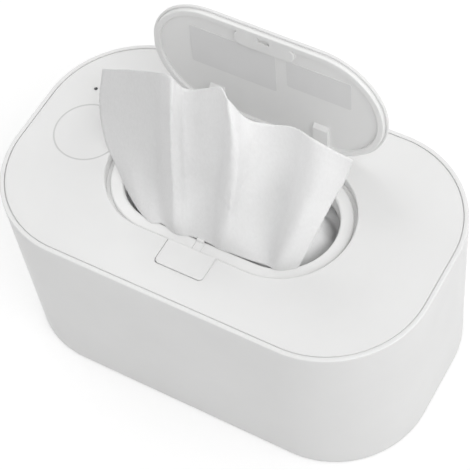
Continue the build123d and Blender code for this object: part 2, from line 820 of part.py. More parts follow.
with BuildPart() as cover_frame:
    with BuildSketch(Plane.XY.offset(frame_bottom)):
        outline_at(body_height, frame_inset)
    extrude(amount=frame_thickness)
    with BuildSketch(Plane.XY.offset(frame_bottom)):
        stadium(opening_length, opening_width, ring_margin)
    extrude(amount=ring_top - frame_bottom)
    with BuildSketch(Plane.XY.offset(chute_bottom)):
        stadium(opening_length, opening_width, chute_wall)
    extrude(amount=frame_bottom - chute_bottom)
    fillet(cover_frame.edges().group_by(Axis.Z)[-1], ring_round)
    with BuildSketch(Plane.XY.offset(chute_bottom)):
        stadium(opening_length, opening_width, 0)
    extrude(amount=ring_top - chute_bottom, mode=Mode.SUBTRACT)
    fillet(stadium_edges(cover_frame, ring_top, opening_length, opening_width), ring_round)
    with BuildSketch(Plane.XY.offset(frame_bottom)):
        arm_slots()
    extrude(amount=ring_top - frame_bottom, mode=Mode.SUBTRACT)
    # channel and guides of the latch slider, seats of the springs
    with BuildSketch(Plane.XY.offset(frame_top)):
        with Locations((0, -(opening_width + ring_margin) / 2)):
            Rectangle(2 * (neck_half_width + neck_gap), 2 * ring_margin)
    extrude(amount=ring_top - frame_top, mode=Mode.SUBTRACT)
    guide_length = slider_step_y - slider_front_y - 2 * latch_travel
    guide_middle = (slider_step_y + slider_front_y) / 2
    with BuildSketch(Plane.XY.offset(frame_top)):
        for side in (-1, 1):
            with Locations((side * (guide_x + guide_width / 2), guide_middle)):
                Rectangle(guide_width, guide_length)
    extrude(amount=slider_top + latch_clearance - frame_top)
    with BuildSketch(Plane.XY.offset(slider_top + latch_clearance)):
        for side in (-1, 1):
            with Locations((side * (guide_x + guide_width / 2 - guide_lip / 2), guide_middle)):
                Rectangle(guide_width + guide_lip, guide_length)
    extrude(amount=guide_lip)
    with BuildSketch(Plane.XY.offset(frame_top)):
        with Locations(*spring_seat_places):
            Circle(button_spring_radius - 2 * spring_wire - screw_fit)
    extrude(amount=button_spring_radius)
    with BuildSketch(Plane.XY.offset(frame_top)):
        for side in (-1, 1):
            with Locations((side * leaf_half_span, leaf_end - latch_clearance - stop_width / 2)):
                Rectangle(stop_length, stop_width)
    extrude(amount=leaf_height + 2 * slider_lift)
    # lugs of the flip lid's hinge
    for lug_x in (
        inner_lug_x,
        outer_lug_x,
        -inner_lug_x - lid_lug_width,
        -outer_lug_x - lid_lug_width,
    ):
        with BuildSketch(Plane.YZ.offset(lug_x)):
            with Locations((lid_axis_y, lid_axis_z)):
                Circle(lid_lug_radius)
            with Locations((lid_axis_y, (frame_bottom + lid_axis_z) / 2)):
                Rectangle(2 * lid_lug_radius, lid_axis_z - frame_bottom)
            with Locations((lid_axis_y, lid_axis_z)):
                Circle(lid_pin_radius + pin_fit, mode=Mode.SUBTRACT)
        extrude(amount=lid_lug_width)
    # clearance holes of the screws
    with BuildSketch(Plane.XY.offset(frame_bottom)):
        with Locations(*cover_screw_places()):
            Circle(cover_screw_radius + screw_fit)
    extrude(amount=frame_thickness, mode=Mode.SUBTRACT)
cover_frame.part.label = "cover_frame"
export_step(cover_frame.part, "parts/cover_frame.step")

with BuildPart() as cover_screws:
    for screw_x, screw_y in cover_screw_places():
        screw(
            (screw_x, screw_y, frame_bottom),
            cover_screw_head,
            cover_screw_radius,
            cover_screw_radius,
            cover_screw_length,
        )
cover_screws.part.label = "cover_screws"
export_step(cover_screws.part, "parts/cover_screws.step")

with BuildPart() as cover_seal:
    with BuildSketch(Plane.XY.offset(frame_bottom)):
        outline_at(body_height, seal_inset)
        outline_at(body_height, seal_inset + seal_width, mode=Mode.SUBTRACT)
    extrude(amount=flange_top + seal_clearance - frame_bottom)
    fillet(cover_seal.edges().group_by(Axis.Z)[0], seal_width / 3)
cover_seal.part.label = "cover_seal"
export_step(cover_seal.part, "parts/cover_seal.step")

with BuildPart() as touch_board:
    with BuildSketch(Plane.XY.offset(panel_bottom)):
        with Locations((touch_board_x, touch_board_y)):
            Rectangle(touch_board_length, touch_board_width)
    extrude(amount=-touch_board_thickness)
    with BuildSketch(Plane.XY.offset(panel_bottom - touch_board_thickness)):
        with Locations((touch_board_x, touch_board_y), (touch_board_x, touch_board_y + 2 * touch_chip)):
            Rectangle(touch_chip, touch_chip)
    extrude(amount=-touch_board_thickness)
touch_board.part.label = "touch_board"
export_step(touch_board.part, "parts/touch_board.step")

with BuildPart() as indicator_window:
    with BuildSketch(Plane.XY.offset(panel_bottom)):
        with Locations((indicator_x, indicator_y)):
            Circle(indicator_radius)
    extrude(amount=panel_thickness)
    fillet(indicator_window.edges().group_by(Axis.Z)[-1], indicator_radius / 3)
indicator_window.part.label = "indicator_window"
export_step(indicator_window.part, "parts/indicator_window.step")

with BuildPart() as lid_hinge_pins:
    for lug_x in (inner_lug_x, -outer_lug_x - lid_lug_width):
        with BuildSketch(Plane.YZ.offset(lug_x + pin_short)):
            with Locations((lid_axis_y, lid_axis_z)):
                Circle(lid_pin_radius)
        extrude(amount=outer_lug_x + lid_lug_width - inner_lug_x - 2 * pin_short)
lid_hinge_pins.part.label = "lid_hinge_pins"
export_step(lid_hinge_pins.part, "parts/lid_hinge_pins.step")

# ================================================================ flip lid, in its turned frame
with BuildPart() as flip_lid:
    with BuildSketch(lid_plane.offset(liner_top)):
        stadium(lid_length, lid_width, 0)
    extrude(amount=lid_skin)
    fillet(flip_lid.edges().group_by(lid_axis)[-1], lid_round)
    with BuildSketch(lid_plane.offset(body_height - lid_edge_depth)):
        stadium(lid_length, lid_width, 0)
        stadium(lid_length, lid_width, -lid_edge_width, mode=Mode.SUBTRACT)
    extrude(amount=lid_edge_depth - lid_skin)
    fillet(flip_lid.edges().group_by(lid_axis)[0], part_gap)
flip_lid.part.label = "flip_lid"
export_step(flip_lid.part, "parts/flip_lid.step")

catch_front = -lid_width / 2 + catch_front_inset
with BuildPart() as lid_liner:
    with BuildSketch(lid_plane.offset(pan_face)):
        stadium(lid_length, lid_width, -liner_inset)
    extrude(amount=liner_thickness)
    with BuildSketch(lid_plane.offset(rim_face)):
        stadium(lid_length, lid_width, -rim_inset)
        stadium(lid_length, lid_width, -rim_inset - rim_width, mode=Mode.SUBTRACT)
        with Locations((0, catch_front + catch_length / 2)):
            RectangleRounded(2 * catch_half_width, catch_length, catch_round)
    extrude(amount=pan_face - rim_face)
    fillet(lid_liner.faces().filter_by(lid_axis).sort_by(lid_axis)[0].edges(), rim_round)
    # slot for the hook, with a cavity behind its ledge
    with BuildSketch(lid_plane.offset(rim_face)):
        with Locations((0, (slot_front + slot_rear) / 2)):
            Rectangle(2 * slot_half_width, slot_rear - slot_front)
    extrude(amount=slot_depth, mode=Mode.SUBTRACT)
    with BuildSketch(lid_plane.offset(rim_face + slot_ledge)):
        with Locations((0, (slot_front + slot_rear + slot_cavity) / 2)):
            Rectangle(2 * slot_half_width, slot_rear + slot_cavity - slot_front)
    extrude(amount=slot_depth - slot_ledge, mode=Mode.SUBTRACT)
    # two gooseneck arms that reach under the cover to the hinge
    for side in (-1, 1):
        with BuildSketch(lid_side_plane(side * arm_x - arm_width / 2)):
            with Locations((lid_axis_y, lid_axis_z)):
                Circle(arm_reach + arm_thickness)
                Circle(arm_reach, mode=Mode.SUBTRACT)
            with Locations((lid_axis_y + arm_reach + arm_thickness, lid_axis_z)):
                Rectangle(
                    2 * (arm_reach + arm_thickness - arm_strip / 2),
                    3 * arm_reach,
                    mode=Mode.SUBTRACT,
                )
            arm_outside = arm_reach + arm_thickness
            with Locations((lid_axis_y - arm_outside, lid_axis_z + arm_outside)):
                Rectangle(
                    4 * arm_reach,
                    2 * (arm_reach + arm_thickness),
                    mode=Mode.SUBTRACT,
                )
            with Locations((lid_axis_y, lid_axis_z - (arm_reach + arm_thickness) / 2)):
                Rectangle(arm_strip, arm_reach)
            with Locations((lid_axis_y, lid_axis_z)):
                Circle(arm_boss_radius)
                Circle(lid_pin_radius + pin_play, mode=Mode.SUBTRACT)
            Polygon(
                (lid_axis_y - arm_reach - arm_thickness, lid_axis_z),
                (lid_axis_y - arm_reach, lid_axis_z),
                (lid_axis_y - arm_reach, pan_face + liner_thickness / 2),
                (arm_foot_y, pan_face + liner_thickness / 2),
                (arm_foot_y, pan_face),
                (arm_foot_y + pan_face - arm_foot_face, arm_foot_face),
                (lid_axis_y - arm_reach - arm_thickness, arm_foot_face),
                align=None,
            )
        extrude(amount=arm_width)
lid_liner.part.label = "lid_liner"
export_step(lid_liner.part, "parts/lid_liner.step")

# ================================================================ latch
ramp_rear = slider_front_y + ramp_length
ramp_crest = slider_bottom + ramp_height
wedge_tip = frame_top + latch_travel + wedge_lift
# both sloping faces keep the same sum of y and z, so that equal steps keep them in touch
wedge_sum = ramp_rear + slider_top + latch_clearance * sqrt(2)

with BuildPart() as latch_button:
    with BuildSketch(Plane.XY.offset(button_bottom)):
        with Locations((0, (button_front_y + recess_front_y) / 2)):
            Rectangle(2 * button_half_width, recess_front_y - button_front_y)
        fillet(vertices().group_by(Axis.Y)[0], button_corner)
    extrude(amount=button_thickness)
    fillet(latch_button.edges().group_by(Axis.Z)[-1], button_round)
    # rear wall that closes the recess, side walls and the ears that hold the button in
    with BuildSketch(Plane.XY.offset(button_bottom)):
        with Locations((0, recess_front_y - button_wall / 2)):
            Rectangle(2 * button_half_width, button_wall)
    extrude(amount=frame_top + latch_travel + latch_clearance - button_bottom)
    with BuildSketch(Plane.XY.offset(slider_top + latch_travel + latch_clearance)):
        with Locations((0, recess_front_y - button_wall / 2)):
            Rectangle(2 * (neck_half_width + neck_gap), button_wall)
    extrude(amount=frame_top - slider_top - latch_travel, mode=Mode.SUBTRACT)
    ear_top = panel_bottom - slider_lift
    ear_middle = (button_ear_front + button_ear_rear) / 2
    for side in (-1, 1):
        with BuildSketch(Plane.XY.offset(button_bottom)):
            with Locations((side * (button_half_width - button_wall / 2), ear_middle)):
                Rectangle(button_wall, button_ear_rear - button_ear_front)
        extrude(amount=ear_top - button_ear_thickness - button_bottom)
        with BuildSketch(Plane.XY.offset(ear_top)):
            with Locations((side * (button_half_width + button_ear / 2 - button_wall / 2), ear_middle)):
                Rectangle(button_ear + button_wall, button_ear_rear - button_ear_front)
        extrude(amount=-button_ear_thickness)
    # wedge that drives the slider
    with BuildSketch(Plane.YZ.offset(-wedge_half_width)):
        Polygon(
            (wedge_sum - wedge_tip, wedge_tip),
            (wedge_sum - wedge_tip + wedge_tip_length, wedge_tip),
            (wedge_sum - wedge_tip + wedge_tip_length, button_bottom + button_thickness / 2),
            (wedge_sum - button_bottom, button_bottom + button_thickness / 2),
            (wedge_sum - button_bottom, button_bottom),
            align=None,
        )
    extrude(amount=2 * wedge_half_width)
latch_button.part.label = "latch_button"
export_step(latch_button.part, "parts/latch_button.step")

with BuildPart() as latch_slider:
    with BuildSketch(Plane.XY.offset(slider_bottom)):
        with Locations((0, (slider_front_y + slider_step_y) / 2)):
            Rectangle(2 * slider_half_width, slider_step_y - slider_front_y)
        with Locations((0, (slider_step_y + hook_y) / 2)):
            Rectangle(2 * neck_half_width, hook_y - slider_step_y)
        with Locations((0, ramp_rear + window_length / 2)):
            Rectangle(2 * (wedge_half_width + latch_clearance), window_length, mode=Mode.SUBTRACT)
    extrude(amount=slider_top - slider_bottom)
    with BuildSketch(Plane.YZ.offset(-wedge_half_width - latch_clearance)):
        Polygon(
            (slider_front_y, slider_bottom),
            (ramp_rear, slider_bottom),
            (ramp_rear, slider_top),
            (ramp_rear + slider_top - ramp_crest, ramp_crest),
            (slider_front_y, ramp_crest),
            align=None,
        )
    extrude(amount=2 * (wedge_half_width + latch_clearance))
    with BuildSketch(Plane.YZ.offset(-hook_half_width)):
        Polygon(
            (hook_y - hook_thickness, slider_bottom),
            (hook_y, slider_bottom),
            (hook_y, hook_top - barb_height),
            (hook_y + barb_reach, hook_top - barb_height),
            (hook_y, hook_top),
            (hook_y - hook_thickness, hook_top),
            align=None,
        )
    extrude(amount=2 * hook_half_width)
latch_slider.part.label = "latch_slider"
export_step(latch_slider.part, "parts/latch_slider.step")

with BuildPart() as latch_spring:
    with BuildSketch(Plane.XY.offset(frame_top + slider_lift)):
        with Locations((0, leaf_front - leaf_radius)):
            Circle(leaf_radius)
            Circle(leaf_radius - leaf_thickness, mode=Mode.SUBTRACT)
        with Locations((0, leaf_end - leaf_radius)):
            Rectangle(3 * leaf_radius, 2 * leaf_radius, mode=Mode.SUBTRACT)
    extrude(amount=leaf_height)
latch_spring.part.label = "latch_spring"
export_step(latch_spring.part, "parts/latch_spring.step")

with BuildPart() as button_springs:
    for place in spring_seat_places:
        with BuildLine() as coil:
            Helix(
                (button_bottom - frame_top - 2 * spring_wire) / button_spring_turns,
                button_bottom - frame_top - 2 * spring_wire,
                button_spring_radius - spring_wire,
                center=(place[0], place[1], frame_top + spring_wire),
            )
        with BuildSketch(Plane(coil.line @ 0, z_dir=coil.line % 0)):
            Circle(spring_wire)
        sweep(path=coil.line, is_frenet=True)
button_springs.part.label = "button_springs"
export_step(button_springs.part, "parts/button_springs.step")

spring_fixed_x = inner_lug_x + lid_lug_width + spring_wire + part_gap / 2
spring_moving_x = arm_x - arm_width / 2 - lid_side_gap - spring_wire - part_gap / 2
with BuildPart() as lid_springs:
    with BuildLine() as torsion_coil:
        Helix(
            (spring_moving_x - spring_fixed_x) / lid_spring_turns,
            spring_moving_x - spring_fixed_x,
            lid_spring_radius,
            center=(spring_moving_x, lid_axis_y, lid_axis_z),
            direction=(-1, 0, 0),
        )
    with BuildSketch(Plane(torsion_coil.line @ 0, z_dir=torsion_coil.line % 0)):
        Circle(spring_wire)
    sweep(path=torsion_coil.line, is_frenet=True)
    # one leg stands on the frame, the other reaches under the arm of the lid
    coil_foot = torsion_coil.line @ 1
    with Locations((coil_foot.X, coil_foot.Y, frame_top)):
        Cylinder(
            spring_wire, lid_axis_z - frame_top, align=(Align.CENTER, Align.CENTER, Align.MIN)
        )
    with Locations(Location(torsion_coil.line @ 0, (90, 0, 0))):
        Cylinder(spring_wire, lid_spring_leg, align=(Align.CENTER, Align.CENTER, Align.MIN))
    leg_end = (torsion_coil.line @ 0) - Vector(spring_wire, lid_spring_leg, 0)
    with Locations(Location(leg_end, (0, 90, 0))):
        Cylinder(spring_wire, lid_spring_tip, align=(Align.CENTER, Align.CENTER, Align.MIN))
    mirror(about=Plane.YZ)
lid_springs.part.label = "lid_springs"
export_step(lid_springs.part, "parts/lid_springs.step")

# ================================================================ wipe through the opening


def sheet_edge(ends, height, shift):
    """A folded line across the wipe at a height, shifted from its middle surface."""
    rise = (height - sheet_foot) / (sheet_peak - sheet_foot)
    left, right = ends
    return [
        (left + (right - left) * share, foot_y_place + (top_y_place - foot_y_place) * rise + shift)
        for share, top_y_place, foot_y_place in sheet_folds
    ]


with BuildPart() as wipe_sheet:
    for level, ends in (
        (sheet_foot, sheet_foot_ends),
        (sheet_middle, sheet_middle_ends),
        (sheet_peak, sheet_top_ends),
    ):
        front_edge = sheet_edge(ends, level, -sheet_thickness / 2)
        rear_edge = sheet_edge(ends, level, sheet_thickness / 2)
        with BuildSketch(Plane.XY.offset(level)):
            with BuildLine():
                Spline(*front_edge)
                Spline(*rear_edge)
                Line(front_edge[0], rear_edge[0])
                Line(front_edge[-1], rear_edge[-1])
            make_face()
    loft(ruled=True)
    # its top edge falls away to both corners
    with BuildSketch(Plane.XZ):
        Polygon(
            (sheet_middle_ends[0], sheet_foot),
            (sheet_middle_ends[0], sheet_left_top),
            (sheet_top_ends[0], sheet_left_top),
            (-sheet_peak_half, sheet_peak),
            (sheet_peak_half, sheet_peak),
            (sheet_top_ends[1], sheet_right_top),
            (sheet_top_ends[1], sheet_foot),
            align=None,
        )
    extrude(amount=sheet_tail, both=True, mode=Mode.INTERSECT)
    # the part that still lies on the stack
    tail_front = sheet_folds[0][2]
    with BuildSketch(Plane.XY.offset(sheet_foot)):
        with Locations((sum(sheet_foot_ends) / 2, tail_front + sheet_tail / 2)):
            Rectangle(sheet_foot_ends[1] - sheet_foot_ends[0], sheet_tail)
    extrude(amount=sheet_thickness)
wipe_sheet.part.label = "wipe_sheet"
export_step(wipe_sheet.part, "parts/wipe_sheet.step")
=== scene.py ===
"""Looks for the baby wipe warmer: materials, the wipe, the lid's label panels, light and camera."""
import json
import math
import bpy
import bmesh
from mathutils import Matrix, Vector, noise


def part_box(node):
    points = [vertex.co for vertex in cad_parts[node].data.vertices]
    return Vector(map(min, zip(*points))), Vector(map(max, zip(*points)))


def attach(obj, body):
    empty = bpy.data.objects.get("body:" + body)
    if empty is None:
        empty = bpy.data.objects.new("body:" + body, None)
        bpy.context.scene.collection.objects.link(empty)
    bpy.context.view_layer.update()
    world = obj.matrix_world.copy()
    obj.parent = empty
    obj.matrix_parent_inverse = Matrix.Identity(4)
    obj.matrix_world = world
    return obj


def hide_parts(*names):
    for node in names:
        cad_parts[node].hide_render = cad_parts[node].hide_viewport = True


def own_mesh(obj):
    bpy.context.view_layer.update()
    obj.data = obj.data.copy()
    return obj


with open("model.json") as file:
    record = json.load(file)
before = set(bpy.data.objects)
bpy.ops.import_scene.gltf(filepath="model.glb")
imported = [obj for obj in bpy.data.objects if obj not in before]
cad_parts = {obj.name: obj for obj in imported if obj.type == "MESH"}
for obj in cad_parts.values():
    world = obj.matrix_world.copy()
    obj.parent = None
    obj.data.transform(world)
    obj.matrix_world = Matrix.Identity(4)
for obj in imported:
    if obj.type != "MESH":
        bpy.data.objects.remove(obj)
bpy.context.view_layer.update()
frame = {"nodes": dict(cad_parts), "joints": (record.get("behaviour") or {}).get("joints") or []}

WHITE = (0.84, 0.84, 0.835)
# the touch dish of the cover and the line round it, in metres
DISH_CENTRE = (-0.083, 0.0013)
DISH_RADIUS = 0.0172
DISH_LINE = 0.0011


# ---------------------------------------------------------------- materials
def principled(name, color, roughness, metallic=0.0, specular=0.5):
    mat = bpy.data.materials.new(name)
    mat.use_nodes = True
    shader = mat.node_tree.nodes["Principled BSDF"]
    shader.inputs["Base Color"].default_value = (*color, 1)
    shader.inputs["Roughness"].default_value = roughness
    shader.inputs["Metallic"].default_value = metallic
    shader.inputs["Specular IOR Level"].default_value = specular
    return mat, mat.node_tree, shader


def object_noise(tree, scale, detail=3.0, roughness=0.5, stretch=(1, 1, 1)):
    coord = tree.nodes.new("ShaderNodeTexCoord")
    mapping = tree.nodes.new("ShaderNodeMapping")
    mapping.inputs["Scale"].default_value = stretch
    tex = tree.nodes.new("ShaderNodeTexNoise")
    tex.inputs["Scale"].default_value = scale
    tex.inputs["Detail"].default_value = detail
    tex.inputs["Roughness"].default_value = roughness
    tree.links.new(coord.outputs["Object"], mapping.inputs["Vector"])
    tree.links.new(mapping.outputs["Vector"], tex.inputs["Vector"])
    return tex


def ramp(tree, source, stops):
    node = tree.nodes.new("ShaderNodeValToRGB")
    elements = node.color_ramp.elements
    while len(elements) < len(stops):
        elements.new(0.5)
    for element, (place, color) in zip(elements, stops):
        element.position = place
        element.color = (*color, 1)
    tree.links.new(source, node.inputs["Fac"])
    return node.outputs["Color"]


def map_range(tree, source, low, high, to_low, to_high):
    node = tree.nodes.new("ShaderNodeMapRange")
    node.inputs["From Min"].default_value = low
    node.inputs["From Max"].default_value = high
    node.inputs["To Min"].default_value = to_low
    node.inputs["To Max"].default_value = to_high
    tree.links.new(source, node.inputs["Value"])
    return node.outputs["Result"]


def bump(tree, shader, source, strength, distance, below=None):
    node = tree.nodes.new("ShaderNodeBump")
    node.inputs["Strength"].default_value = strength
    node.inputs["Distance"].default_value = distance
    tree.links.new(source, node.inputs["Height"])
    if below is not None:
        tree.links.new(below, node.inputs["Normal"])
    tree.links.new(node.outputs["Normal"], shader.inputs["Normal"])
    return node.outputs["Normal"]


def ring_mask(tree, centre, radius, width):
    """1 on a thin circle seen from above, in metres, falling to 0 at its sides."""
    coord = tree.nodes.new("ShaderNodeTexCoord")
    flat = tree.nodes.new("ShaderNodeMapping")
    flat.inputs["Scale"].default_value = (1, 1, 0)
    away = tree.nodes.new("ShaderNodeVectorMath")
    away.operation = "DISTANCE"
    away.inputs[1].default_value = (*centre, 0)
    off = tree.nodes.new("ShaderNodeMath")
    off.operation = "SUBTRACT"
    off.inputs[1].default_value = radius
    size = tree.nodes.new("ShaderNodeMath")
    size.operation = "ABSOLUTE"
    tree.links.new(coord.outputs["Object"], flat.inputs["Vector"])
    tree.links.new(flat.outputs["Vector"], away.inputs[0])
    tree.links.new(away.outputs["Value"], off.inputs[0])
    tree.links.new(off.outputs["Value"], size.inputs[0])
    return map_range(tree, size.outputs["Value"], width / 4, width / 2, 1.0, 0.0)


def plastic(name, color, roughness, grain=3200.0, grain_depth=0.00002, glow=0.0):
    """Moulded plastic: faint tone drift, uneven gloss and a fine spark-eroded grain."""
    mat, tree, shader = principled(name, color, roughness, specular=0.45)
    shader.inputs["Subsurface Weight"].default_value = glow
    shader.inputs["Subsurface Radius"].default_value = (0.003, 0.003, 0.003)
    shader.inputs["Subsurface Scale"].default_value = 1.0
    drift = object_noise(tree, 18.0, 4.0)
    dark = tuple(c * 0.965 for c in color)
    tone = ramp(tree, drift.outputs["Fac"], [(0.3, dark), (0.7, color)])
    tree.links.new(tone, shader.inputs["Base Color"])
    gloss = object_noise(tree, 60.0, 3.0)
    tree.links.new(
        map_range(tree, gloss.outputs["Fac"], 0.3, 0.7, roughness - 0.04, roughness + 0.05),
        shader.inputs["Roughness"],
    )
    fine = object_noise(tree, grain, 2.0)
    bump(tree, shader, fine.outputs["Fac"], 0.35, grain_depth)
    return mat


def metal(name, color, roughness, stretch=(1, 1, 30)):
    """Drawn or rolled metal, with its fine lines along the stretched axis."""
    mat, tree, shader = principled(name, color, roughness, metallic=1.0)
    lines = object_noise(tree, 400.0, 3.0, stretch=stretch)
    tree.links.new(
        map_range(tree, lines.outputs["Fac"], 0.3, 0.7, roughness - 0.07, roughness + 0.1),
        shader.inputs["Roughness"],
    )
    bump(tree, shader, lines.outputs["Fac"], 0.2, 0.00003)
    return mat


def mark_ring(mat, centre, radius, width, color):
    """Draws a thin printed circle over a plastic."""
    tree = mat.node_tree
    shader = tree.nodes["Principled BSDF"]
    under = shader.inputs["Base Color"].links[0].from_socket
    mix = tree.nodes.new("ShaderNodeMix")
    mix.data_type = "RGBA"
    mix.inputs["B"].default_value = (*color, 1)
    tree.links.new(ring_mask(tree, centre, radius, width), mix.inputs["Factor"])
    tree.links.new(under, mix.inputs["A"])
    tree.links.new(mix.outputs["Result"], shader.inputs["Base Color"])


body_plastic = plastic("body_plastic", WHITE, 0.38, glow=0.5)
cover_plastic = plastic("cover_plastic", (0.85, 0.85, 0.845), 0.36, glow=0.5)
# painted light: the ring's white is lighter than the cover's, to lift the shade of its recess
ring_plastic_painted_light = plastic("ring_plastic_painted_light", (0.93, 0.93, 0.925), 0.22, grain_depth=0.000008)
lid_plastic = plastic("lid_plastic", WHITE, 0.34, glow=0.5)
liner_plastic = plastic("liner_plastic", (0.9, 0.9, 0.895), 0.36)
# painted light: the tub's white is lighter than the body's, to lift the shade inside the opening
tub_plastic_painted_light = plastic("tub_plastic_painted_light", (0.93, 0.93, 0.925), 0.42)
dark_plastic = plastic("dark_plastic", (0.03, 0.03, 0.032), 0.4)
board_green = plastic("board_green", (0.02, 0.12, 0.05), 0.4)
film_amber = plastic("film_amber", (0.35, 0.14, 0.03), 0.3)
feet_rubber = plastic("feet_rubber", (0.09, 0.09, 0.095), 0.7)
seal_rubber = plastic("seal_rubber", (0.62, 0.62, 0.61), 0.6)
foam_grey = plastic("foam_grey", (0.12, 0.12, 0.125), 0.85, grain=900.0, grain_depth=0.0002)
steel = metal("steel", (0.55, 0.55, 0.56), 0.3)
aluminium = metal("aluminium", (0.72, 0.73, 0.74), 0.35, stretch=(1, 30, 1))
window_plastic = plastic("window_plastic", (0.04, 0.04, 0.045), 0.18)
label_film = plastic("label_film", (0.82, 0.82, 0.82), 0.42, grain_depth=0.000004)
mark_ring(cover_plastic, DISH_CENTRE, DISH_RADIUS, DISH_LINE, (0.62, 0.62, 0.615))

node_material = {
    "outer_shell": body_plastic, "bottom_cover": body_plastic, "rubber_feet": feet_rubber,
    "base_screws": steel, "inner_tub": tub_plastic_painted_light, "heating_plate": aluminium,
    "heater_film": film_amber, "insulation_pad": foam_grey, "thermistor": dark_plastic,
    "thermal_fuse": aluminium, "control_board": board_green, "board_screws": steel,
    "power_socket": steel, "cover_hinge_pins": steel, "top_panel": cover_plastic,
    "cover_frame": ring_plastic_painted_light, "cover_screws": steel, "cover_seal": seal_rubber,
    "touch_board": board_green, "indicator_window": window_plastic, "lid_hinge_pins": steel,
    "lid_springs": steel, "button_springs": steel, "latch_spring": steel,
    "flip_lid": lid_plastic, "lid_liner": liner_plastic, "latch_button": cover_plastic,
    "latch_slider": ring_plastic_painted_light, "wipe_stack": tub_plastic_painted_light, "wipe_sheet": tub_plastic_painted_light,
}
for node_name, material in node_material.items():
    piece = frame["nodes"][node_name]
    piece.data.materials.clear()
    piece.data.materials.append(material)

# ---------------------------------------------------------------- cloth material
# where the painted shade fades out: across from the left, and up from the opening, in metres
PAINTED_SHADE_ACROSS = (-0.03, 0.025)
PAINTED_SHADE_UP = (0.098, 0.150)
PAINTED_SHADE_UNEVEN = 0.006


def painted_shade_color(tree, painted_shade_tone, own_tone):
    """Painted shade: greyer on the left and near the opening, with soft uneven edges."""
    coord = tree.nodes.new("ShaderNodeTexCoord")
    place = tree.nodes.new("ShaderNodeSeparateXYZ")
    tree.links.new(coord.outputs["Object"], place.inputs["Vector"])
    uneven = object_noise(tree, 30.0, 3.0)
    shift = map_range(tree, uneven.outputs["Fac"], 0.3, 0.7, -PAINTED_SHADE_UNEVEN, PAINTED_SHADE_UNEVEN)
    across = tree.nodes.new("ShaderNodeMath")
    across.operation = "ADD"
    tree.links.new(place.outputs["X"], across.inputs[0])
    tree.links.new(shift, across.inputs[1])
    least = tree.nodes.new("ShaderNodeMath")
    least.operation = "MINIMUM"
    tree.links.new(map_range(tree, across.outputs["Value"], *PAINTED_SHADE_ACROSS, 0.0, 1.0), least.inputs[0])
    tree.links.new(map_range(tree, place.outputs["Z"], *PAINTED_SHADE_UP, 0.0, 1.0), least.inputs[1])
    return ramp(tree, least.outputs["Value"], [(0.0, painted_shade_tone), (1.0, own_tone)])


def cloth(name, color, painted_shade_tone):
    """Wet-laid wipe: soft fibres, a soft uneven bump and a little light through it."""
    mat, tree, shader = principled(name, color, 0.75, specular=0.3)
    shader.inputs["Subsurface Weight"].default_value = 0.15
    shader.inputs["Subsurface Radius"].default_value = (0.004, 0.004, 0.004)
    shader.inputs["Subsurface Scale"].default_value = 1.0
    fibre = object_noise(tree, 900.0, 6.0, 0.65, stretch=(1, 1, 0.35))
    pale = tuple(c * 0.97 for c in color)
    threads = ramp(tree, fibre.outputs["Fac"], [(0.3, pale), (0.7, (1, 1, 1))])
    painted_shade_mix = tree.nodes.new("ShaderNodeMix")
    painted_shade_mix.data_type = "RGBA"
    painted_shade_mix.blend_type = "MULTIPLY"
    painted_shade_mix.inputs["Factor"].default_value = 1.0
    tree.links.new(threads, painted_shade_mix.inputs["A"])
    # painted shade: the cloth is greyed on its left and near the opening
    tree.links.new(painted_shade_color(tree, painted_shade_tone, color), painted_shade_mix.inputs["B"])
    tree.links.new(painted_shade_mix.outputs["Result"], shader.inputs["Base Color"])
    soft = object_noise(tree, 160.0, 3.0)
    first = bump(tree, shader, soft.outputs["Fac"], 0.25, 0.0003)
    bump(tree, shader, fibre.outputs["Fac"], 0.3, 0.00008, below=first)
    return mat


# the last colour of each cloth is the tone of its painted shade
wipe_cloth = cloth("wipe_cloth", (0.98, 0.98, 0.98), (0.85, 0.85, 0.85))
stack_cloth = cloth("stack_cloth", (0.93, 0.93, 0.93), (0.88, 0.88, 0.88))


# ---------------------------------------------------------------- camera
CAMERA_AZ, CAMERA_EL, CAMERA_ROLL = 36.164, 56.207, -8.603
CAMERA_TARGET = Vector((0.00704, 0.010676, 0.055423))
CAMERA_DISTANCE = 0.864423
CAMERA_CLIP = (0.01, 20.0)
# in pixels of a square picture: its side, the focal length and the point the lens looks at
PICTURE = 470
FOCAL_PX = 1690.297
PRINCIPAL = (261.187, 237.293)
SENSOR = 36.0

az, el, roll = (math.radians(v) for v in (CAMERA_AZ, CAMERA_EL, CAMERA_ROLL))
view_back = Vector((math.sin(az) * math.cos(el), -math.cos(az) * math.cos(el), math.sin(el)))
level_right = (-view_back).cross(Vector((0, 0, 1))).normalized()
level_up = level_right.cross(-view_back)
view_right = level_right * math.cos(roll) + level_up * math.sin(roll)
view_up = level_up * math.cos(roll) - level_right * math.sin(roll)
camera_place = CAMERA_TARGET + view_back * CAMERA_DISTANCE

cam_data = bpy.data.cameras.new("camera")
cam_data.sensor_width = SENSOR
cam_data.lens = FOCAL_PX * SENSOR / PICTURE
cam_data.shift_x = (PICTURE / 2 - PRINCIPAL[0]) / PICTURE
cam_data.shift_y = (PRINCIPAL[1] - PICTURE / 2) / PICTURE
cam_data.clip_start, cam_data.clip_end = CAMERA_CLIP
camera = bpy.data.objects.new("camera", cam_data)
bpy.context.scene.collection.objects.link(camera)
camera_turn = Matrix((view_right, view_up, view_back)).transposed()
camera.matrix_world = Matrix.Translation(camera_place) @ camera_turn.to_4x4()
bpy.context.scene.camera = camera
bpy.context.scene.view_settings.view_transform = "Standard"


# ---------------------------------------------------------------- mesh helpers
def smooth(mesh):
    for poly in mesh.polygons:
        poly.use_smooth = True


def add_object(name, data):
    item = bpy.data.objects.new(name, data)
    bpy.context.scene.collection.objects.link(item)
    return item


def mesh_from(name, bm):
    mesh = bpy.data.meshes.new(name)
    bm.to_mesh(mesh)
    bm.free()
    return mesh


# ---------------------------------------------------------------- the wipe, in mm
AXIS_Y, AXIS_Z = 1, 2
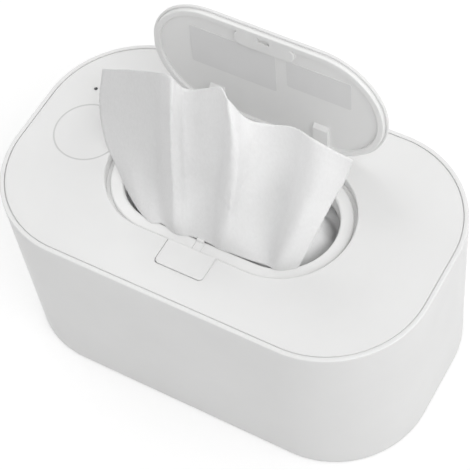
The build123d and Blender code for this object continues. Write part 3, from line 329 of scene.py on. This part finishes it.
# Folds of the wipe from its left edge to its right, placed in the camera's picture. Each has
# four points from the top edge down, as picture x, picture y and depth y in mm, and then the picture
# x and y of the point where it crosses the opening's lip.
FOLD_TRACES = [
    ([(103, 69, 5), (99.5, 105, 2), (105, 140, -5), (117, 167, -12)], (126, 188)),
    ([(128, 70.5, 0), (127, 105, -2.5), (129, 140, -7.5), (132, 175, -15.5)], (138.5, 209)),
    ([(145, 71.3, -3), (144, 106, -4.5), (145, 142, -8.5), (147, 177, -13.5)], (150.5, 221)),
    ([(158.5, 72.5, -5), (158, 108, -7.5), (158, 145, -10), (158.5, 180, -13.5)], (162, 222.5)),
    ([(170.5, 76, -10.8), (170, 112, -17.5), (170.5, 150, -22), (172, 192, -26)], (174, 232.5)),
    ([(178, 83, -8.5), (177.5, 115, -14), (178, 150, -19), (179.5, 195, -24)], (182, 234.8)),
    ([(187, 89, -6), (186.5, 122, -10), (187, 157, -14.5), (188.5, 195, -19.5)], (189, 234.8)),
    ([(206, 88, -6.5), (205, 122, -10.5), (204, 157, -13.5), (202.5, 195, -17.5)], (201.5, 239.3)),
    ([(221, 87.5, -7.5), (223, 115, -11.5), (223, 150, -14), (217, 192, -18)], (210.8, 243.2)),
    ([(229, 100, -11.3), (233, 130, -18), (231.5, 163, -23), (226, 203, -26)], (219.5, 248.5)),
    ([(248, 120, -7), (248, 150, -11), (243, 182, -16), (237, 217, -22.5)], (233, 253)),
    ([(270, 125, -2), (268, 155, -4), (260, 188, -9.5), (251, 222, -17.5)], (247, 258)),
    ([(293, 127, -1), (293, 155, -0.5), (286, 190, -2.5), (275, 222, -11)], (265.5, 263)),
    ([(316, 140, -6), (312, 172, -11), (302, 204, -16.5), (288, 238, -23)], (277, 269.5)),
    ([(353, 160, 0), (345, 180, -1), (334, 199, -4), (319, 228, -12)], (298, 267.5)),
]
OPENING_LEVEL = 101.4
OPENING_HALF = (57.0, 27.6)
# how far inside the opening, and how high, the wipe passes below its lip
PASSES = [(1.4, 98.7), (2.0, 92.5)]
FOOT_INSET = 3.0

SHEET_COLUMNS, SHEET_ROWS = 160, 150
STANDING = 0.66  # share of the rows above the bend on the stack
BEND_SHARE = 0.05
BEND_RADIUS = 2.4
WIPE_THICKNESS = 0.5

TAIL_FLOOR = 82.3
TAIL_REACH = 44.0
TAIL_WIDTH = 146.0
TAIL_SPREAD = 2.2  # how soon the tail spreads to its full width
# raised loops of the part that lies on the stack: middle x and y, half sizes and height
LOOPS = [((36.0, 0.0), (19.3, 21.0), 14.0), ((-42.0, 2.0), (14.0, 17.0), 8.0)]
LOOP_FALL = 1.3  # how soon a loop falls from its top towards its edge
TAIL_CRUMPLE = 4.0
CRUMPLE_SCALE = (0.07, 0.09, 1.7)  # along x, along y and seed

# ripples of the standing part: scale across, scale down, seed and height
RIPPLES = [(5.0, 3.0, 3.1, 1.1), (14.0, 5.0, 7.7, 0.35)]
LOOSE_FROM = 103.0  # height from which the wipe is free of the opening
RIPPLE_RISE = 20.0
HOLD_RISE = 30.0

SETTLE_FRAMES = 10
SETTLE_GROWTH = 0.012
SETTLE_CAP = 0.0015
HOLD_LOOSE, HOLD_FIRM = 0.35, 1.0


def curve_at(points, t):
    """A smooth line through unevenly spaced points, at t from 0 to 1."""
    spans = len(points) - 1
    place = t * spans
    i = min(int(place), spans - 1)
    f = place - i
    start, end = points[i], points[i + 1]
    before = points[max(i - 1, 0)]
    after = points[min(i + 2, spans)]
    reach = (end - start).length / 3
    start_handle = start + (end - before).normalized() * reach
    end_handle = end - (after - start).normalized() * reach
    g = 1 - f
    return start * g**3 + start_handle * 3 * g * g * f + end_handle * 3 * g * f * f + end * f**3


def seen_point(picture_x, picture_y, axis, level):
    """The point that the camera sees at a place in its picture, where one axis has a known value."""
    across = (picture_x - PRINCIPAL[0]) / FOCAL_PX
    up = (PRINCIPAL[1] - picture_y) / FOCAL_PX
    ray = view_right * across + view_up * up - view_back
    start = camera_place * 1000
    return start + ray * ((level - start[axis]) / ray[axis])


def tail_height(x, y):
    """Height of the wipe where it lies on the stack, with its raised loops."""
    height = TAIL_FLOOR
    for (middle_x, middle_y), (half_x, half_y), rise in LOOPS:
        off = ((x - middle_x) / half_x) ** 2 + ((y - middle_y) / half_y) ** 2
        height += rise * max(0.0, 1 - off**2) ** LOOP_FALL
    scale_x, scale_y, seed = CRUMPLE_SCALE
    crumple = noise.noise(Vector((x * scale_x, y * scale_y, seed)))
    return height + TAIL_CRUMPLE * max(0.0, crumple)


def inside_opening(point, inset, height):
    """The point brought inside the opening's edge by an inset, at a height."""
    straight = OPENING_HALF[0] - OPENING_HALF[1]
    middle = Vector((min(max(point.x, -straight), straight), 0, height))
    off = Vector((point.x, point.y, height)) - middle
    reach = OPENING_HALF[1] - inset
    return middle + (off if off.length < reach else off * (reach / off.length))


def fold_line(standing_points, lip_point):
    """A fold from the top edge over the opening's lip to its foot on the stack."""
    line = [seen_point(x, y, AXIS_Y, depth) for x, y, depth in standing_points]
    lip = seen_point(*lip_point, AXIS_Z, OPENING_LEVEL)
    line.append(lip)
    for inset, height in PASSES:
        line.append(inside_opening(lip, inset, height))
    foot = inside_opening(lip, FOOT_INSET, 0)
    foot.z = tail_height(foot.x, foot.y + BEND_RADIUS) + BEND_RADIUS
    return line + [foot]


FOLD_LINES = [fold_line(*trace) for trace in FOLD_TRACES]


def wipe_point(u, v):
    """A point of the wipe: v runs from the top edge, down the opening and over the stack."""
    if v <= STANDING:
        return curve_at([curve_at(line, v / STANDING) for line in FOLD_LINES], u)
    foot = curve_at([line[-1] for line in FOLD_LINES], u)
    if v <= STANDING + BEND_SHARE:
        angle = (v - STANDING) / BEND_SHARE * math.pi / 2
        y = foot.y + BEND_RADIUS * (1 - math.cos(angle))
        return Vector((foot.x, y, foot.z - BEND_RADIUS * math.sin(angle)))
    share = (v - STANDING - BEND_SHARE) / (1 - STANDING - BEND_SHARE)
    start_y = foot.y + BEND_RADIUS
    x = foot.x + ((u - 0.5) * TAIL_WIDTH - foot.x) * (1 - (1 - share) ** TAIL_SPREAD)
    y = start_y + (TAIL_REACH - start_y) * share
    return Vector((x, y, tail_height(x, y)))


def loose_share(height, rise):
    """0 up to the opening, growing to 1 over a rise above it."""
    return min(1.0, max(0.0, (height - LOOSE_FROM) / rise))


def wipe_place(u, v):
    """A point of the wipe with its ripples, in metres."""
    point = wipe_point(u, v)
    ripple = 0.0
    for scale_u, scale_v, seed, height in RIPPLES:
        ripple += noise.noise(Vector((u * scale_u, v * scale_v, seed))) * height
    point.y += ripple * loose_share(point.z, RIPPLE_RISE)
    return point / 1000


def grid_mesh(name, columns, rows, place):
    """A sheet of four-sided faces, its points placed by a function of two shares."""
    mesh = bpy.data.meshes.new(name)
    points = [place(i / columns, j / rows) for j in range(rows + 1) for i in range(columns + 1)]
    row = columns + 1
    faces = [
        (j * row + i, j * row + i + 1, (j + 1) * row + i + 1, (j + 1) * row + i)
        for j in range(rows)
        for i in range(columns)
    ]
    mesh.from_pydata([tuple(p) for p in points], [], faces)
    smooth(mesh)
    return add_object(name, mesh)


def apply_modifiers(piece):
    deps = bpy.context.evaluated_depsgraph_get()
    mesh = bpy.data.meshes.new_from_object(piece.evaluated_get(deps))
    piece.modifiers.clear()
    piece.data = mesh
    smooth(mesh)


def settle_cloth(piece):
    """Lets the folded sheet settle as cloth, and keeps the result in its mesh."""
    scene = bpy.context.scene
    mesh = piece.data
    group = piece.vertex_groups.new(name="held")
    for vert in mesh.vertices:
        loose = loose_share(vert.co.z * 1000, HOLD_RISE)
        group.add([vert.index], HOLD_FIRM + (HOLD_LOOSE - HOLD_FIRM) * loose, "REPLACE")
    settle = piece.modifiers.new("settle", "CLOTH")
    settle.settings.quality = 5
    settle.settings.mass = 0.2
    settle.settings.tension_stiffness = 12.0
    settle.settings.compression_stiffness = 12.0
    settle.settings.shear_stiffness = 6.0
    settle.settings.bending_stiffness = 0.4
    settle.settings.shrink_min = -SETTLE_GROWTH
    settle.settings.vertex_group_mass = "held"
    settle.settings.effector_weights.gravity = 0.2
    settle.point_cache.frame_start = 1
    settle.point_cache.frame_end = SETTLE_FRAMES
    for number in range(1, SETTLE_FRAMES + 1):
        scene.frame_set(number)
    settled = piece.evaluated_get(bpy.context.evaluated_depsgraph_get()).data
    moves = [after.co - before.co for after, before in zip(settled.vertices, mesh.vertices)]
    piece.modifiers.clear()
    piece.vertex_groups.clear()
    for vert, move in zip(mesh.vertices, moves):
        vert.co += move if move.length < SETTLE_CAP else move.normalized() * SETTLE_CAP
    scene.frame_set(1)


wipe = grid_mesh("pulled_wipe", SHEET_COLUMNS, SHEET_ROWS, wipe_place)
settle_cloth(wipe)
thick = wipe.modifiers.new("thick", "SOLIDIFY")
thick.thickness = WIPE_THICKNESS / 1000
thick.offset = 0
apply_modifiers(wipe)
wipe.data.materials.append(wipe_cloth)
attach(wipe, "top_cover")
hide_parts("wipe_sheet")
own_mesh(wipe)

# ---------------------------------------------------------------- the stack of wipes
STACK_HALF = (0.0745, 0.0465)
STACK_AROUND, STACK_LEVELS, STACK_RINGS = 180, 108, 26
STACK_SQUARE = 0.22  # the smaller, the squarer the corners
LEVELS_PER_FOLD = 4
FOLD_DEPTH = 0.0007
FOLD_SLIP = 0.0006
SLIP_SCALE = (40, 1.2, 2.0)  # up, round the side and seed
TOP_EDGE = 0.06  # share of the height over which the top edge rounds in
TOP_PULL = 0.0012
# the soft top: half size and width of its edge, drop at the edge, sinking and swell of the middle
TOP_HALF = (0.075, 0.047)
TOP_MARGIN = 0.012
TOP_DROP = 0.0028
TOP_SINK = 0.0012
TOP_SWELL = 0.0012
SWELL_SCALE = (22, 26, 0.4)  # along x, along y and seed

stack_low, stack_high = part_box("wipe_stack")


def stack_top(x, y):
    """Height of the stack's soft top, in metres."""
    edge = min(1.0, (TOP_HALF[0] - abs(x)) / TOP_MARGIN, (TOP_HALF[1] - abs(y)) / TOP_MARGIN)
    edge = max(0.0, edge)
    scale_x, scale_y, seed = SWELL_SCALE
    swell = noise.noise(Vector((x * scale_x, y * scale_y, seed))) * TOP_SWELL
    return stack_high.z - TOP_DROP * (1 - edge) ** 2 - TOP_SINK + swell * edge


def stack_side(share, angle):
    """A point of the stack's side at a share of its height, with the edges of the folds."""
    across, along = math.cos(angle), math.sin(angle)
    x = math.copysign(abs(across) ** STACK_SQUARE, across) * STACK_HALF[0]
    y = math.copysign(abs(along) ** STACK_SQUARE, along) * STACK_HALF[1]
    wave = FOLD_DEPTH * abs(math.sin(math.pi * share * STACK_LEVELS / LEVELS_PER_FOLD))
    scale_up, scale_round, seed = SLIP_SCALE
    slip = FOLD_SLIP * noise.noise(Vector((share * scale_up, angle * scale_round, seed)))
    pull = wave + slip + TOP_PULL * (max(0.0, share - 1 + TOP_EDGE) / TOP_EDGE) ** 2
    length = math.hypot(x, y)
    x, y = x * (1 - pull / length), y * (1 - pull / length)
    return x, y, stack_low.z + (stack_top(x, y) - stack_low.z) * share


def bridge(bm, ring, after):
    """Faces between two rings of as many points."""
    for k in range(len(ring)):
        n = (k + 1) % len(ring)
        bm.faces.new((ring[k], ring[n], after[n], after[k]))


def stack_mesh():
    """Folded wipes, drawn as a soft block with the edges of its layers round the sides."""
    bm = bmesh.new()
    angles = [2 * math.pi * k / STACK_AROUND for k in range(STACK_AROUND)]
    rings = []
    for level in range(STACK_LEVELS + 1):
        share = level / STACK_LEVELS
        rings.append([bm.verts.new(stack_side(share, angle)) for angle in angles])
    for low, high in zip(rings, rings[1:]):
        bridge(bm, low, high)
    # crowned top in shrinking rings, plain bottom
    last = rings[-1]
    for step in range(1, STACK_RINGS):
        scale = 1 - step / STACK_RINGS
        ring = []
        for vert in rings[-1]:
            x, y = vert.co.x * scale, vert.co.y * scale
            ring.append(bm.verts.new((x, y, stack_top(x, y))))
        bridge(bm, last, ring)
        last = ring
    middle = bm.verts.new((0, 0, stack_top(0, 0)))
    for k in range(STACK_AROUND):
        bm.faces.new((last[k], last[(k + 1) % STACK_AROUND], middle))
    bm.faces.new(list(reversed(rings[0])))
    mesh = mesh_from("folded_wipes", bm)
    smooth(mesh)
    return add_object("folded_wipes", mesh)


stack = stack_mesh()
stack.data.materials.append(stack_cloth)
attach(stack, "base")
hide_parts("wipe_stack")

# ---------------------------------------------------------------- soft lip in the cover's seam
COVER_CORNER = 0.05  # corner radius of the cover, in metres
LIP_SINK = 0.00002  # how far the lip reaches into the cover's edge
LIP_WIDTH = 0.00034
LIP_LEVELS = (0.1036, 0.1044)
LIP_STEPS = 40  # points in a quarter of its outline


def round_outline(half_x, half_y, corner, steps):
    """Points round a rectangle with round corners, counterclockwise from its right side."""
    points = []
    for quarter in range(4):
        side_x = 1 if quarter in (0, 3) else -1
        side_y = 1 if quarter < 2 else -1
        for step in range(steps + 1):
            angle = (quarter + step / steps) * math.pi / 2
            x = side_x * (half_x - corner) + corner * math.cos(angle)
            y = side_y * (half_y - corner) + corner * math.sin(angle)
            points.append((x, y))
    return points


def seam_lip():
    """A thin lip round the cover's edge, with its top slanting out and down."""
    bm = bmesh.new()
    cover_low, cover_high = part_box("top_panel")
    half_x, half_y = cover_high.x - LIP_SINK, -cover_low.y - LIP_SINK
    corner = COVER_CORNER - LIP_SINK
    low, high = LIP_LEVELS
    loops = []
    for grow, level in ((0, low), (LIP_WIDTH, low), (LIP_WIDTH, high - LIP_WIDTH / 2), (0, high)):
        outline = round_outline(half_x + grow, half_y + grow, corner + grow, LIP_STEPS)
        loops.append([bm.verts.new((x, y, level)) for x, y in outline])
    for loop, after in zip(loops, loops[1:] + loops[:1]):
        bridge(bm, loop, after)
    bmesh.ops.recalc_face_normals(bm, faces=bm.faces)
    mesh = mesh_from("seam_lip", bm)
    mesh.materials.append(cover_plastic)
    return add_object("seam_lip", mesh)


lip = seam_lip()
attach(lip, "top_cover")

# ---------------------------------------------------------------- bare labels on the lid's pan
PAN_FACE = 0.1028  # height of the pan's face with the lid closed, in metres
LABEL_FILM = 0.0002
LABEL_CORNER = 0.0012
LABEL_CORNER_STEPS = 6
# left, right, front and rear edge of each label with the lid closed, in metres
LABELS = [(-0.042, 0.005, -0.0205, 0.004), (0.011, 0.0455, -0.0205, -0.003)]

lid_hinge = next(joint for joint in frame["joints"] if joint["name"] == "lid_hinge")
lid_axis = Vector(lid_hinge["pos_m"])
lid_open = math.radians(lid_hinge["range_deg"][1])


def label_mesh(left, right, front, rear):
    """A thin film with round corners on the closed lid's pan, opened with the lid."""
    bm = bmesh.new()
    bmesh.ops.create_cube(bm, size=1.0)
    middle = Vector(((left + right) / 2, (front + rear) / 2, PAN_FACE - LABEL_FILM / 2))
    size = Vector((right - left, rear - front, LABEL_FILM))
    for vert in bm.verts:
        vert.co = middle + Vector((vert.co.x * size.x, vert.co.y * size.y, vert.co.z * size.z))
    upright = [e for e in bm.edges if abs(e.verts[0].co.z - e.verts[1].co.z) > LABEL_FILM / 2]
    bmesh.ops.bevel(
        bm,
        geom=upright,
        offset=LABEL_CORNER,
        segments=LABEL_CORNER_STEPS,
        affect="EDGES",
        profile=0.5,
    )
    opening_turn = Matrix.Rotation(-lid_open, 4, "X")
    bm.transform(Matrix.Translation(lid_axis) @ opening_turn @ Matrix.Translation(-lid_axis))
    return mesh_from("label", bm)


for number, edges in enumerate(LABELS, 1):
    label = add_object(f"lid_label_{number}", label_mesh(*edges))
    label.data.materials.append(label_film)
    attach(label, "flip_lid")

# ---------------------------------------------------------------- floor, world and lamps
FLOOR_HALF = 3.0
FLOOR_GREY = (0.62, 0.62, 0.62)
FLOOR_LIFT = 0.45  # light added to the floor where it is seen as background
WORLD_LIGHT = 0.61
LAMP_SIZE, LAMP_DISTANCE = 2.2, 3.0
LAMP_AIM = Vector((0, 0, 0.1))


def background_rays(tree):
    """1 for the rays that show a background: from the camera, in gloss or through glass."""
    path = tree.nodes.new("ShaderNodeLightPath")
    total = path.outputs["Is Camera Ray"]
    for kind in ("Is Glossy Ray", "Is Transmission Ray"):
        larger = tree.nodes.new("ShaderNodeMath")
        larger.operation = "MAXIMUM"
        tree.links.new(total, larger.inputs[0])
        tree.links.new(path.outputs[kind], larger.inputs[1])
        total = larger.outputs["Value"]
    return total


def floor_material():
    """Pale floor that keeps the object's shadow and fades to white where it is seen."""
    mat = bpy.data.materials.new("floor_white")
    mat.use_nodes = True
    tree = mat.node_tree
    tree.nodes.clear()
    out = tree.nodes.new("ShaderNodeOutputMaterial")
    diffuse = tree.nodes.new("ShaderNodeBsdfDiffuse")
    diffuse.inputs["Color"].default_value = (*FLOOR_GREY, 1)
    lift = tree.nodes.new("ShaderNodeMath")
    lift.operation = "MULTIPLY"
    lift.inputs[1].default_value = FLOOR_LIFT
    emission = tree.nodes.new("ShaderNodeEmission")
    emission.inputs["Color"].default_value = (1, 1, 1, 1)
    both = tree.nodes.new("ShaderNodeAddShader")
    tree.links.new(background_rays(tree), lift.inputs[0])
    tree.links.new(lift.outputs["Value"], emission.inputs["Strength"])
    tree.links.new(diffuse.outputs["BSDF"], both.inputs[0])
    tree.links.new(emission.outputs["Emission"], both.inputs[1])
    tree.links.new(both.outputs["Shader"], out.inputs["Surface"])
    return mat


def studio_world():
    """Even soft light, with a white background where it is seen."""
    world = bpy.data.worlds.new("studio")
    world.use_nodes = True
    tree = world.node_tree
    tree.nodes.clear()
    out = tree.nodes.new("ShaderNodeOutputWorld")
    mix = tree.nodes.new("ShaderNodeMixShader")
    tree.links.new(background_rays(tree), mix.inputs["Fac"])
    for socket, strength in ((1, WORLD_LIGHT), (2, 1.0)):
        background = tree.nodes.new("ShaderNodeBackground")
        background.inputs["Color"].default_value = (1, 1, 1, 1)
        background.inputs["Strength"].default_value = strength
        tree.links.new(background.outputs["Background"], mix.inputs[socket])
    tree.links.new(mix.outputs["Shader"], out.inputs["Surface"])
    return world


floor_bm = bmesh.new()
bmesh.ops.create_grid(floor_bm, x_segments=8, y_segments=8, size=FLOOR_HALF)
floor_mesh = mesh_from("floor", floor_bm)
floor_mesh.materials.append(floor_material())
floor = add_object("floor", floor_mesh)
bpy.context.scene.world = studio_world()


def area_light(name, azimuth, elevation, power):
    """A square soft lamp aimed at the object, at degrees from the right and from the floor."""
    lamp = bpy.data.lights.new(name, "AREA")
    lamp.shape = "SQUARE"
    lamp.size = LAMP_SIZE
    lamp.energy = power
    holder = add_object(name, lamp)
    turn, rise = math.radians(azimuth), math.radians(elevation)
    away = Vector((math.cos(turn) * math.cos(rise), math.sin(turn) * math.cos(rise), math.sin(rise)))
    holder.location = LAMP_AIM + away * LAMP_DISTANCE
    holder.rotation_euler = away.to_track_quat("Z", "Y").to_euler()


area_light("key", -30, 45, 32.0)
area_light("side", 25, 35, 13.0)
area_light("back", 150, 45, 16.0)
